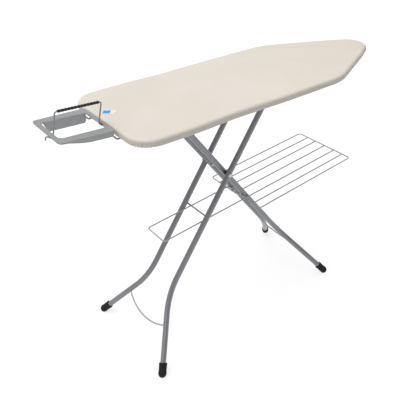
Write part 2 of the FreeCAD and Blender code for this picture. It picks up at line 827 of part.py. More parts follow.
def saddleScrews():
    heads = []
    middle = fromHeel(size["heelBrace"])
    low = braceLow - size["rodDiameter"] - size["rodGap"] - size["saddleWall"]
    for side in (1, -1):
        for shift in (-8.6, 8.6):
            start = Vec(middle, side * size["rodY"] + shift, low)
            heads.append(drum(6.4, 1.8, start, Vec(0, 0, -1)))
    return solid("saddle_screws", Part.makeCompound(heads))


holderFrame()
for sideName, side in sides:
    holderRod("holder_rod_" + sideName, side)
rodSaddles()
saddleScrews()


def bailWire():
    """Wire bail that leans over the opening and turns on its two lower ends."""
    axisY = -size["bailAxisY"]
    axisZ = -size["bailAxisDrop"]
    topY = -size["bailLeanY"]
    topZ = size["bailTop"]
    far = -size["bailFar"]
    near = -size["bailNear"]
    points = [Vec(far - 26, axisY - 1.0, axisZ - 9), Vec(far - 25, axisY, axisZ),
              Vec(far, axisY, axisZ), Vec(far, topY, topZ), Vec(near, topY, topZ),
              Vec(near, axisY, axisZ), Vec(near + 16, axisY, axisZ)]
    return onHolderSolid("bail_wire", wireRod(points, [4.0, 4.5, 8.0, 8.0, 4.5], size["bailWire"]))


def bailSleeve():
    """Heat-proof sleeve on the bail's top run."""
    middle = -(size["bailFar"] + size["bailNear"]) / 2
    start = Vec(middle - size["sleeveLength"] / 2, -size["bailLeanY"], size["bailTop"])
    sleeve = drum(size["sleeveDiameter"], size["sleeveLength"], start, Vec(1, 0, 0))
    bore = drum(size["bailWire"], size["sleeveLength"], start, Vec(1, 0, 0))
    return onHolderSolid("bail_sleeve", sleeve.cut(bore))


def bailBushes():
    """Bushes under the holder's end bands that the bail turns in."""
    axisY = -size["bailAxisY"]
    axisZ = -size["bailAxisDrop"]
    pair = []
    for low, high in ((-size["holderLength"] + 3.5, -size["openingFar"] - 5.0), (-6.5, -0.5)):
        body = block(low, high, axisY - 5, axisY + 5, axisZ - 5, -size["holderSheet"])
        bore = drum(size["bailWire"] + 2 * size["runningGap"], high - low,
                    Vec(low, axisY, axisZ), Vec(1, 0, 0))
        pair.append(body.cut(bore))
    return onHolderSolid("bail_bushes", Part.makeCompound(pair))


bailWire()
bailSleeve()
bailBushes()


# ---------------------------------------------------------------- height latch
pivot = Vec(fromHeel(size["latchPivotFromHeel"]), 0, size["latchPivotHeight"])


def lifted(shape):
    """Turn a latch piece from the locked place to the lifted one."""
    shape.rotate(pivot, Vec(0, 1, 0), size["latchLift"])
    return shape


def latchBar():
    """Notched bar over the slide axle, drawn locked and kept lifted."""
    thick = size["latchThick"]
    low = size["axleHeight"] + 0.4
    high = low + size["latchHeight"]
    start = slideAxle.x - 14
    step = fromHeel(872)
    end = pivot.x + 9
    sideView = [(start, low), (step, low), (step + 12, low + 5.6), (end, low + 5.6),
                (end, high + 4), (start, high)]
    body = prism([Vec(x, -thick / 2, z) for x, z in sideView], Vec(0, thick, 0))
    for place in range(5):
        notch = Vec(slideAxle.x + place * size["latchNotchPitch"], -thick / 2, size["axleHeight"])
        body = body.cut(drum(size["axleDiameter"] + 0.7, thick, notch, acrossRear))
    bore = drum(size["latchPin"] + 2 * size["runningGap"], thick, pivot - Vec(0, thick / 2, 0), acrossRear)
    return solid("latch_bar", lifted(body.cut(bore)))


def latchHandle():
    """Release rod from the bar to the front edge."""
    x = slideAxle.x + size["latchHandleAt"]
    z = size["axleHeight"] + size["latchHandleRise"]
    start = Vec(x, -size["latchThick"] / 2, z)
    rod = bar(start, Vec(x, -size["handleReach"], z), size["handleDiameter"])
    return solid("latch_handle", lifted(rod))


def latchGrip():
    x = slideAxle.x + size["latchHandleAt"]
    z = size["axleHeight"] + size["latchHandleRise"]
    half = size["gripLength"] / 2
    edge = -size["handleReach"] - 8.0
    rise = size["gripThick"] / 2
    grip = block(x - half, x + half, edge, edge + size["gripWidth"], z - rise, z + rise)
    grip = grip.makeFillet(2.4, grip.Edges)
    rod = bar(Vec(x, 0, z), Vec(x, -size["handleReach"], z), size["handleDiameter"])
    return solid("latch_grip", lifted(grip.cut(rod)))


def latchBracket():
    """Fork under the far brace that holds the latch pin."""
    wall = 2.0
    gap = size["latchThick"] / 2 + 0.4
    face = fromHeel(size["slideBraceFar"]) - size["braceWidth"] / 2
    cheek = block(pivot.x - 6, face, gap, gap + wall, pivot.z - 5.5, pivot.z + 7)
    cheek = cheek.cut(drum(size["latchPin"], wall, pivot + Vec(0, gap, 0), acrossRear))
    return solid("latch_bracket", Part.makeCompound([onSide(cheek, 1), onSide(cheek, -1)]))


def latchPin():
    pin = doc.addObject("Part::Cylinder", "latchPin")
    bind(pin, Radius=D + "latchPin / 2")
    pin.Height = 26.0
    pin.Placement = FreeCAD.Placement(Vec(pivot.x, 8.0, pivot.z), FreeCAD.Rotation(Vec(1, 0, 0), 90))
    return keep(pin, "latch_pin")


def latchSpring():
    """Torsion spring on the pin, drawn as the sleeve it fills."""
    start = pivot - Vec(0, size["latchThick"] / 2 + 0.4 + 2.0, 0)
    length = 12.0
    coil = drum(10.0, length, start, Vec(0, -1, 0))
    return solid("latch_spring", coil.cut(drum(size["latchPin"], length, start, Vec(0, -1, 0))))


latchBar()
latchHandle()
latchGrip()
latchBracket()
latchPin()
latchSpring()


# ---------------------------------------------------------------- checks and files
doc.recompute()
for item in doc.Objects:
    if "Invalid" in item.State or "Error" in item.State:
        raise SystemExit("failed: %s %s" % (item.Name, item.State))
os.makedirs("parts", exist_ok=True)
whole = FreeCAD.BoundBox()
for item in nodes:
    shape = item.Shape
    if shape.isNull() or not shape.isValid():
        raise SystemExit("bad shape: " + item.Label)
    whole.add(shape.BoundBox)
    shape.exportStep("parts/%s.step" % item.Label)
    print("%-24s solids %d volume %.1f" % (item.Label, len(shape.Solids), shape.Volume / 1000))
print("nodes", len(nodes))
bailAxis = onHolder(0, -size["bailAxisY"], -size["bailAxisDrop"])
for name, place in (("hinge", hingeAxle), ("cross", cross), ("rack", rackAxis),
                    ("latch", pivot), ("bail", bailAxis)):
    print("joint place %-6s %.3f %.3f %.3f" % (name, place.x, place.y, place.z))
print("X %.2f..%.2f" % (whole.XMin, whole.XMax))
print("Y %.2f..%.2f" % (whole.YMin, whole.YMax))
print("Z %.2f..%.2f" % (whole.ZMin, whole.ZMax))
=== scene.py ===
from math import cos, hypot, pi, radians, sin

import bmesh
import bpy
import numpy as np
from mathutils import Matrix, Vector


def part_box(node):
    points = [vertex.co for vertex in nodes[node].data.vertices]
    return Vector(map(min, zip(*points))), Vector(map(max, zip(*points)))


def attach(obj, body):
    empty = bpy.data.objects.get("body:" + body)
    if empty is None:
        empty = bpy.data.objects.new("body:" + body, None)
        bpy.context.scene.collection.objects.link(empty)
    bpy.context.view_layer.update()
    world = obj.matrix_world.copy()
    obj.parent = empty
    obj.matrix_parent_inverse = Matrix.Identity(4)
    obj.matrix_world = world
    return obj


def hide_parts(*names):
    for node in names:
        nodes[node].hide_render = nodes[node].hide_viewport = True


# Folding ironing board: cotton cover, scissor legs, linen rack and steam unit holder.
# All sizes in metres in the frame's own axes: nose towards +X, floor at z = 0.

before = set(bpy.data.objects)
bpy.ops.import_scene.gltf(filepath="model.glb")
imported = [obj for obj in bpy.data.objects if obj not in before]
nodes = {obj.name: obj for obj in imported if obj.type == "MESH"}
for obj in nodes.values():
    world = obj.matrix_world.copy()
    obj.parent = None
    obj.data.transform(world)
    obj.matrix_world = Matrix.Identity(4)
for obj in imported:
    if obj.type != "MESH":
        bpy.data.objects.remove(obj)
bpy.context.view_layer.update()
print("frame loaded:", len(nodes), "nodes")


# General helpers.

def makePiece(name, points, faces, body, finish, smooth=True, stands=()):
    mesh = bpy.data.meshes.new(name)
    mesh.from_pydata([tuple(point) for point in points], [], [tuple(face) for face in faces])
    mesh.validate()
    work = bmesh.new()
    work.from_mesh(mesh)
    bmesh.ops.recalc_face_normals(work, faces=work.faces)
    work.to_mesh(mesh)
    work.free()
    for face in mesh.polygons:
        face.use_smooth = smooth
    piece = bpy.data.objects.new(name, mesh)
    bpy.context.scene.collection.objects.link(piece)
    mesh.materials.append(finish)
    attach(piece, body)
    if stands:
        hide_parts(*stands)
    return piece


def bevelled(piece, width, segments=2, angle=35):
    edge = piece.modifiers.new("softEdges", "BEVEL")
    edge.width = width
    edge.segments = segments
    edge.limit_method = "ANGLE"
    edge.angle_limit = radians(angle)
    edge.use_clamp_overlap = True


def thickened(piece, name, thickness, offset=0.0):
    layer = piece.modifiers.new(name, "SOLIDIFY")
    layer.thickness = thickness
    layer.offset = offset


# Points that fall together, as on the middle line of a ring-by-ring form, become one.
def mergeClose(piece, distance):
    work = bmesh.new()
    work.from_mesh(piece.data)
    bmesh.ops.remove_doubles(work, verts=work.verts, dist=distance)
    bmesh.ops.recalc_face_normals(work, faces=work.faces)
    work.to_mesh(piece.data)
    work.free()
    for face in piece.data.polygons:
        face.use_smooth = True


def pointsOf(name):
    return np.array([vertex.co for vertex in nodes[name].data.vertices])


# Two directions across a line.
def sideAxes(along):
    along = Vector(along).normalized()
    guide = Vector((0, 0, 1)) if abs(along.z) < 0.9 else Vector((1, 0, 0))
    first = along.cross(guide).normalized()
    return first, along.cross(first).normalized()


# Faces between rings of equal count, with a flat face over both ends if capped.
def ringFaces(rings, sides, capped=True):
    faces = []
    for ring in range(rings - 1):
        for side in range(sides):
            after = (side + 1) % sides
            faces.append((ring * sides + side, ring * sides + after,
                          (ring + 1) * sides + after, (ring + 1) * sides + side))
    if capped:
        last = (rings - 1) * sides
        faces.append(tuple(range(sides))[::-1])
        faces.append(tuple(range(last, last + sides)))
    return faces


# A stack of rings, listed from the first to the last, as one open form.
def ringStack(rings):
    return np.concatenate(rings), ringFaces(len(rings), len(rings[0]), capped=False)


# Points of a circle on two directions.
def circle(middle, first, second, radius, sides):
    turns = [2 * pi * side / sides for side in range(sides)]
    return [middle + (first * cos(turn) + second * sin(turn)) * radius for turn in turns]


# Points and faces of a turned piece: profile holds (distance along, radius) pairs.
def turned(profile, base, along, sides):
    first, second = sideAxes(along)
    along = Vector(along).normalized()
    points = []
    for reach, radius in profile:
        points += circle(base + along * reach, first, second, radius, sides)
    return points, ringFaces(len(profile), sides)


# Points and faces of a round rod that follows a line of points.
def tube(line, radius, sides):
    line = [Vector(point) for point in line]
    first, _ = sideAxes(line[1] - line[0])
    points = []
    for index, place in enumerate(line):
        ahead = line[min(index + 1, len(line) - 1)] - line[max(index - 1, 0)]
        ahead.normalize()
        first = (first - ahead * first.dot(ahead)).normalized()
        points += circle(place, first, ahead.cross(first), radius, sides)
    return points, ringFaces(len(line), sides)


# Several (points, faces) shapes as one.
def joined(*shapes):
    points, faces = [], []
    for somePoints, someFaces in shapes:
        start = len(points)
        points += list(somePoints)
        faces += [tuple(index + start for index in face) for face in someFaces]
    return points, faces


# Finishes.

def startFinish(name):
    finish = bpy.data.materials.new(name)
    finish.use_nodes = True
    tree = finish.node_tree
    shader = tree.nodes["Principled BSDF"]
    place = tree.nodes.new("ShaderNodeTexCoord").outputs["Object"]
    return finish, tree, shader, place


def addNoise(tree, place, scale, detail, rough, stretch=None):
    if stretch:
        mapping = tree.nodes.new("ShaderNodeMapping")
        mapping.inputs["Scale"].default_value = stretch
        tree.links.new(place, mapping.inputs["Vector"])
        place = mapping.outputs["Vector"]
    noise = tree.nodes.new("ShaderNodeTexNoise")
    noise.inputs["Scale"].default_value = scale
    noise.inputs["Detail"].default_value = detail
    noise.inputs["Roughness"].default_value = rough
    tree.links.new(place, noise.inputs["Vector"])
    return noise.outputs["Fac"]


def addRamp(tree, source, stops):
    ramp = tree.nodes.new("ShaderNodeValToRGB")
    band = ramp.color_ramp
    while len(band.elements) < len(stops):
        band.elements.new(0.5)
    for element, (place, colour) in zip(band.elements, stops):
        element.position = place
        element.color = (*colour, 1.0)
    tree.links.new(source, ramp.inputs["Fac"])
    return ramp.outputs["Color"]


# Two colours mixed; the mix node's colour sockets have the indices 6 and 7.
def addBlend(tree, way, share, first, second):
    blend = tree.nodes.new("ShaderNodeMix")
    blend.data_type = "RGBA"
    blend.blend_type = way
    blend.inputs[0].default_value = share
    tree.links.new(first, blend.inputs[6])
    tree.links.new(second, blend.inputs[7])
    return blend.outputs[2]


def addRange(tree, source, low, high, fromLow=0.3, fromHigh=0.7):
    spread = tree.nodes.new("ShaderNodeMapRange")
    spread.inputs["From Min"].default_value = fromLow
    spread.inputs["From Max"].default_value = fromHigh
    spread.inputs["To Min"].default_value = low
    spread.inputs["To Max"].default_value = high
    tree.links.new(source, spread.inputs["Value"])
    return spread.outputs["Result"]


def addBump(tree, source, distance, strength, below=None):
    bump = tree.nodes.new("ShaderNodeBump")
    bump.inputs["Distance"].default_value = distance
    bump.inputs["Strength"].default_value = strength
    tree.links.new(source, bump.inputs["Height"])
    if below:
        tree.links.new(below, bump.inputs["Normal"])
    return bump.outputs["Normal"]


def shaded(colour, factor):
    return tuple(max(0.0, min(1.0, channel * factor)) for channel in colour)


# Sprayed enamel: fine metallic fleck, light orange peel, rubbed patches.
def enamelFinish(name, look):
    finish, tree, shader, place = startFinish(name)
    fleck = addNoise(tree, place, look["fleckScale"], detail=2.0, rough=0.7)
    patches = addNoise(tree, place, look["patchScale"], detail=5.0, rough=0.6)
    orange = addNoise(tree, place, look["peelScale"], detail=2.0, rough=0.5)
    spread = look["spread"]
    base = addRamp(tree, patches, [(0.32, shaded(look["colour"], 1 - spread)),
                                   (0.68, shaded(look["colour"], 1 + spread))])
    flecks = addRamp(tree, fleck, [(0.3, (0.25, 0.25, 0.25)), (0.7, (0.75, 0.75, 0.75))])
    tree.links.new(addBlend(tree, "OVERLAY", look["fleck"], base, flecks), shader.inputs["Base Color"])
    tree.links.new(addRange(tree, patches, *look["gloss"]), shader.inputs["Roughness"])
    peel = addBump(tree, orange, look["peel"], strength=0.6)
    tree.links.new(addBump(tree, fleck, look["peel"] * 0.25, strength=0.4, below=peel),
                   shader.inputs["Normal"])
    shader.inputs["Metallic"].default_value = look["metal"]
    shader.inputs["Specular IOR Level"].default_value = look["shine"]
    shader.inputs["Coat Weight"].default_value = look["coat"]
    shader.inputs["Coat Roughness"].default_value = 0.25
    return finish


# Passivated zinc plate: cloudy crystals, brushed scratches, warm patches.
def zincFinish(name, look):
    finish, tree, shader, place = startFinish(name)
    cloud = addNoise(tree, place, look["cloudScale"], detail=6.0, rough=0.65)
    scratch = addNoise(tree, place, look["scratchScale"], detail=3.0, rough=0.6, stretch=(1.0, 0.08, 1.0))
    tree.links.new(addRamp(tree, cloud, [(0.3, shaded(look["colour"], 0.82)), (0.55, look["colour"]),
                                         (0.72, look["warm"])]), shader.inputs["Base Color"])
    tree.links.new(addRange(tree, scratch, *look["gloss"]), shader.inputs["Roughness"])
    tree.links.new(addBump(tree, scratch, look["scratch"], strength=0.5), shader.inputs["Normal"])
    shader.inputs["Metallic"].default_value = 1.0
    return finish


# Moulded rubber or nylon: fine grain, dusty handling marks.
def mouldedFinish(name, look):
    finish, tree, shader, place = startFinish(name)
    grain = addNoise(tree, place, look["grainScale"], detail=3.0, rough=0.6)
    dust = addNoise(tree, place, 60.0, detail=6.0, rough=0.6)
    tree.links.new(addRamp(tree, dust, [(0.35, look["colour"]), (0.75, look["worn"])]),
                   shader.inputs["Base Color"])
    tree.links.new(addRange(tree, dust, *look["gloss"]), shader.inputs["Roughness"])
    tree.links.new(addBump(tree, grain, look["grain"], strength=0.6), shader.inputs["Normal"])
    shader.inputs["Specular IOR Level"].default_value = look["shine"]
    return finish


def addProduct(tree, first, second):
    product = tree.nodes.new("ShaderNodeMath")
    product.operation = "MULTIPLY"
    tree.links.new(first, product.inputs[0])
    tree.links.new(second, product.inputs[1])
    return product.outputs["Value"]


# Plain weave: warp and weft bands, slubs along both, a soft nap.
# Each painted shade darkens the cloth along one axis, from none at the first place to the full colour at
# the second, standing in for shade that falls on the cover.
def clothFinish(name, look):
    finish, tree, shader, place = startFinish(name)
    bands = []
    for direction in ("X", "Y"):
        wave = tree.nodes.new("ShaderNodeTexWave")
        wave.wave_type = "BANDS"
        wave.bands_direction = direction
        wave.inputs["Scale"].default_value = look["threads"]
        wave.inputs["Distortion"].default_value = 0.6
        wave.inputs["Detail"].default_value = 1.0
        wave.inputs["Detail Scale"].default_value = 0.4
        tree.links.new(place, wave.inputs["Vector"])
        bands.append(wave.outputs["Fac"])
    weave = addProduct(tree, *bands)
    slubX = addNoise(tree, place, look["slubs"], detail=3.0, rough=0.6, stretch=(0.06, 1.0, 1.0))
    slubY = addNoise(tree, place, look["slubs"], detail=3.0, rough=0.6, stretch=(1.0, 0.06, 1.0))
    slub = addProduct(tree, slubX, slubY)
    wear = addNoise(tree, place, 5.0, detail=5.0, rough=0.55)
    tone = addRamp(tree, wear, [(0.3, look["shade"]), (0.7, look["colour"])])
    threads = addRamp(tree, slub, [(0.12, (0.3, 0.3, 0.3)), (0.42, (0.7, 0.7, 0.7))])
    base = addBlend(tree, "SOFT_LIGHT", look["slubTone"], tone, threads)
    for axis, ends, colour in look["paintedShades"]:
        split = tree.nodes.new("ShaderNodeSeparateXYZ")
        tree.links.new(place, split.inputs["Vector"])
        share = addRange(tree, split.outputs[axis], 0.0, 1.0, *ends)
        shadeRamp = addRamp(tree, share, [(0.0, (1.0, 1.0, 1.0)), (1.0, colour)])
        base = addBlend(tree, "MULTIPLY", 1.0, base, shadeRamp)
    tree.links.new(base, shader.inputs["Base Color"])
    tree.links.new(addRange(tree, slub, 0.95, 0.82, fromLow=0.15, fromHigh=0.4), shader.inputs["Roughness"])
    coarse = addBump(tree, slub, look["slubDepth"], strength=0.6)
    tree.links.new(addBump(tree, weave, look["threadDepth"], strength=0.7, below=coarse),
                   shader.inputs["Normal"])
    shader.inputs["Sheen Weight"].default_value = look["sheen"]
    shader.inputs["Sheen Roughness"].default_value = 0.5
    shader.inputs["Specular IOR Level"].default_value = 0.15
    return finish


# Needle felt: matted fibres, darker where they are pressed.
def feltFinish(name, look):
    finish, tree, shader, place = startFinish(name)
    fibres = addNoise(tree, place, 700.0, detail=8.0, rough=0.75)
    mat = addNoise(tree, place, 40.0, detail=6.0, rough=0.7)
    tree.links.new(addRamp(tree, mat, [(0.3, shaded(look["colour"], 0.8)), (0.7, look["colour"])]),
                   shader.inputs["Base Color"])
    tree.links.new(addBump(tree, fibres, look["fibre"], strength=0.8), shader.inputs["Normal"])
    shader.inputs["Roughness"].default_value = 0.95
    shader.inputs["Sheen Weight"].default_value = 0.3
    return finish


finishes = {
    "legPaint": enamelFinish("legPaint", {
        "colour": (0.215, 0.22, 0.235), "spread": 0.04, "fleck": 0.15, "fleckScale": 2600.0,
        "patchScale": 9.0, "peelScale": 420.0, "peel": 0.000012, "gloss": (0.32, 0.4),
        "metal": 0.45, "coat": 0.2, "shine": 0.5}),
    "wirePaint": enamelFinish("wirePaint", {
        "colour": (0.37, 0.375, 0.385), "spread": 0.06, "fleck": 0.25, "fleckScale": 3000.0,
        "patchScale": 25.0, "peelScale": 700.0, "peel": 0.00001, "gloss": (0.34, 0.46),
        "metal": 0.3, "coat": 0.2, "shine": 0.5}),
    "holderPaint": enamelFinish("holderPaint", {
        "colour": (0.30, 0.305, 0.31), "spread": 0.04, "fleck": 0.25, "fleckScale": 2400.0,
        "patchScale": 12.0, "peelScale": 380.0, "peel": 0.00006, "gloss": (0.40, 0.50),
        "metal": 0.0, "coat": 0.0, "shine": 0.25}),
    "boardPaint": enamelFinish("boardPaint", {
        "colour": (0.56, 0.56, 0.545), "spread": 0.05, "fleck": 0.15, "fleckScale": 2400.0,
        "patchScale": 8.0, "peelScale": 300.0, "peel": 0.00007, "gloss": (0.4, 0.55),
        "metal": 0.1, "coat": 0.1, "shine": 0.5}),
    "zinc": zincFinish("zinc", {
        "colour": (0.60, 0.59, 0.56), "warm": (0.66, 0.62, 0.50), "cloudScale": 90.0,
        "scratchScale": 900.0, "scratch": 0.00006, "gloss": (0.24, 0.46)}),
    "rubber": mouldedFinish("rubber", {
        "colour": (0.007, 0.007, 0.008), "worn": (0.016, 0.016, 0.017), "grainScale": 1400.0,
        "grain": 0.00008, "gloss": (0.5, 0.65), "shine": 0.2}),
    "sleeve": mouldedFinish("sleeve", {
        "colour": (0.009, 0.009, 0.009), "worn": (0.025, 0.025, 0.025), "grainScale": 2200.0,
        "grain": 0.00005, "gloss": (0.35, 0.5), "shine": 0.35}),
    "nylon": mouldedFinish("nylon", {
        "colour": (0.02, 0.02, 0.021), "worn": (0.045, 0.045, 0.046), "grainScale": 1800.0,
        "grain": 0.00004, "gloss": (0.32, 0.45), "shine": 0.4}),
    "cotton": clothFinish("cotton", {
        "colour": (0.68, 0.64, 0.575), "shade": (0.655, 0.613, 0.545), "threads": 640.0,
        "threadDepth": 0.00012, "slubs": 420.0, "slubDepth": 0.00008, "slubTone": 0.12, "sheen": 0.08,
        # Painted shade: the side below the roll is darkened and cooled where it is out of the light, and
        # the top is darkened and warmed towards the nose.
        "paintedShades": [("Z", (0.984, 0.975), (0.72, 0.72, 0.73)), ("X", (0.0, 0.72), (0.94, 0.925, 0.90))]}),
    "felt": feltFinish("felt", {"colour": (0.62, 0.61, 0.57), "fibre": 0.0006}),
    "labelWhite": clothFinish("labelWhite", {
        "colour": (0.76, 0.76, 0.76), "shade": (0.72, 0.72, 0.72), "threads": 900.0,
        "threadDepth": 0.00006, "slubs": 900.0, "slubDepth": 0.00004, "slubTone": 0.2, "sheen": 0.05,
        "paintedShades": []}),
    "labelBlue": clothFinish("labelBlue", {
        "colour": (0.04, 0.36, 0.78), "shade": (0.035, 0.33, 0.74), "threads": 900.0,
        "threadDepth": 0.00008, "slubs": 900.0, "slubDepth": 0.00004, "slubTone": 0.2, "sheen": 0.08,
        "paintedShades": []}),
}
print("finishes made:", len(finishes))


# Carried-over metal and moulded pieces.

carried = {
    "legPaint": ("leg_paint", ["inner_leg_rear", "inner_leg_front", "outer_leg_rear", "outer_leg_front",
                               "inner_leg_lugs", "outer_leg_lugs", "rack_hold_rod", "holder_rod_rear",
                               "holder_rod_front", "bail_wire"]),
    "wirePaint": ("wire_paint", ["rack_frame_wire", "rack_loop_wire", "rack_middle_wires", "inner_bow",
                                 "outer_bow"]),
    "holderPaint": ("holder_paint", ["holder_frame"]),
    "boardPaint": ("board_paint", ["rim_frame", "heel_brace", "hinge_brace", "slide_brace_near",
                                   "slide_brace_far", "slide_rail_rear", "slide_rail_front",
                                   "hinge_bracket_rear", "hinge_bracket_front", "latch_bracket"]),
    "zinc": ("zinc", ["hinge_axle", "slide_axle", "rack_hinge_strap", "strap_rivets", "rod_saddles",
                      "saddle_screws", "latch_bar", "latch_handle", "latch_pin"]),
    "nylon": ("black_nylon", ["slide_shoe_rear", "slide_shoe_front", "pivot_spacers", "bail_bushes",
                              "latch_grip"]),
}
softEdge = {"holder_frame": 0.0005, "rack_hinge_strap": 0.0004, "latch_bar": 0.0003, "rod_saddles": 0.0005,
            "bail_bushes": 0.0006, "rim_frame": 0.0004, "heel_brace": 0.0006, "hinge_brace": 0.0006,
            "slide_brace_near": 0.0006, "slide_brace_far": 0.0006, "slide_rail_rear": 0.0004,
            "slide_rail_front": 0.0004, "hinge_bracket_rear": 0.0004, "hinge_bracket_front": 0.0004,
            "inner_leg_lugs": 0.0005, "outer_leg_lugs": 0.0005, "strap_rivets": 0.0006,
            "saddle_screws": 0.0006, "slide_shoe_rear": 0.0005, "slide_shoe_front": 0.0005,
            "latch_bracket": 0.0003}

for finishName, (slotName, names) in carried.items():
    for name in names:
        node = nodes[name]
        node.data.materials.clear()
        node.data.materials.append(finishes[finishName])
        if name in softEdge:
            bevelled(node, softEdge[name])
print("carried-over pieces finished")


# Outline of the cover, from the edge of its top: even points, heel middle first, along +Y to the nose
# and back.
def coverOutline(spacing):
    places = pointsOf("fabric_cover")
    low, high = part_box("cover_label")
    onTop = places[:, 2] > places[:, 2].max() - 0.0002
    onLabel = np.all((places > np.array(low) - 0.002) & (places < np.array(high) + 0.002), axis=1)
    loop = np.unique(np.round(places[onTop & ~onLabel][:, :2], 6), axis=0)
    middle = (loop[:, 0].min() + loop[:, 0].max()) / 2
    half = loop[loop[:, 1] > 0.0001]
    half = half[np.argsort(np.arctan2(half[:, 1], middle - half[:, 0]))]
    line = np.vstack([[loop[:, 0].min(), 0.0], half, [loop[:, 0].max(), 0.0]])
    steps = np.r_[0, np.cumsum(np.hypot(*np.diff(line, axis=0).T))]
    even = np.linspace(0, steps[-1], int(steps[-1] / spacing) + 1)
    xs = np.interp(even, steps, line[:, 0])
    ys = np.interp(even, steps, line[:, 1])
    rim = np.c_[np.r_[xs, xs[-2:0:-1]], np.r_[ys, -ys[-2:0:-1]]]
    for _ in range(6):
        rim = 0.5 * rim + 0.25 * (np.roll(rim, 1, 0) + np.roll(rim, -1, 0))
    return rim


# Unit directions out of the outline, and how sharply it bends.
def outwardOf(rim):
    ahead = np.roll(rim, -1, 0) - np.roll(rim, 1, 0)
    ahead /= np.linalg.norm(ahead, axis=1)[:, None]
    out = np.c_[-ahead[:, 1], ahead[:, 0]]
    middle = rim.mean(0)
    if ((rim - middle) * out).sum() < 0:
        out = -out
    step = np.linalg.norm(np.roll(rim, -1, 0) - rim, axis=1).mean()
    turn = np.abs(np.roll(ahead, -1, 0) - np.roll(ahead, 1, 0)).sum(1) / (2 * step)
    for _ in range(12):
        turn = 0.5 * turn + 0.25 * (np.roll(turn, 1) + np.roll(turn, -1))
    return out, turn


def insideArea(line):
    return abs(np.sum(line[:, 0] * np.roll(line[:, 1], -1) - np.roll(line[:, 0], -1) * line[:, 1])) / 2


# Line along the middle that rings close on, its ends in from the heel and from the nose.
def spineOf(edge, heelIn, noseIn):
    xs = np.clip(edge[:, 0], edge[:, 0].min() + heelIn, edge[:, 0].max() - noseIn)
    return np.c_[xs, np.zeros(len(edge))]


# Cotton cover.

cover = {
    "spacing": 0.0024,       # along the edge
    "top": 0.98595,          # height of the ironing surface
    "hem": 0.9590,           # height of the turned-under hem
    "hemReach": 0.017,       # how far the hem goes in under the rim
    "hemRise": 0.0004,       # how much higher its inner edge lies
    "bend": 0.0042,          # radius of the lower bend
    "roll": 0.0115,          # radius where the top rolls over the padding
    "cornerSaving": 0.006,   # cloth that the two round corners save
    "cloth": 0.0009,         # thickness
    "pleat": 0.0028,         # depth of the gathers at tight corners
    "pleatPitch": 0.0092,
    "pleatEdge": 2.4,        # how steeply a gather rises
    "gatherFrom": 1.5,       # bend of the outline, per metre, where gathers start
    "gatherSpan": 13.0,      # and how much more of it makes them full
    "scallop": 0.0009,       # slow waves of the hem
    "slackShare": 0.6,       # how much of them goes in and out
    "crown": 0.0005,         # gentle unevenness of the padded top
    "crownWaves": 14,
    "spine": (0.17, 0.06),   # where the top's rings close, in from heel and nose
    "hemRings": 7,
    "bendRings": 6,
    "sideRings": 6,
    "rollRings": 9,
    "topRings": 34,
    "seed": 11,
}


# Smooth closed curve round the edge, about -1 to 1, with waves between two lengths.
def slowWaves(draw, along, total, count, low, high):
    wave = np.zeros_like(along)
    fewest = int(total / high)
    most = max(int(total / low), fewest + 1)
    for _ in range(count):
        turns = draw.integers(fewest, most)
        wave += draw.uniform(0.4, 1.0) * np.sin(2 * pi * turns * along / total + draw.uniform(0, 2 * pi))
    return wave / max(1e-9, np.abs(wave).max())


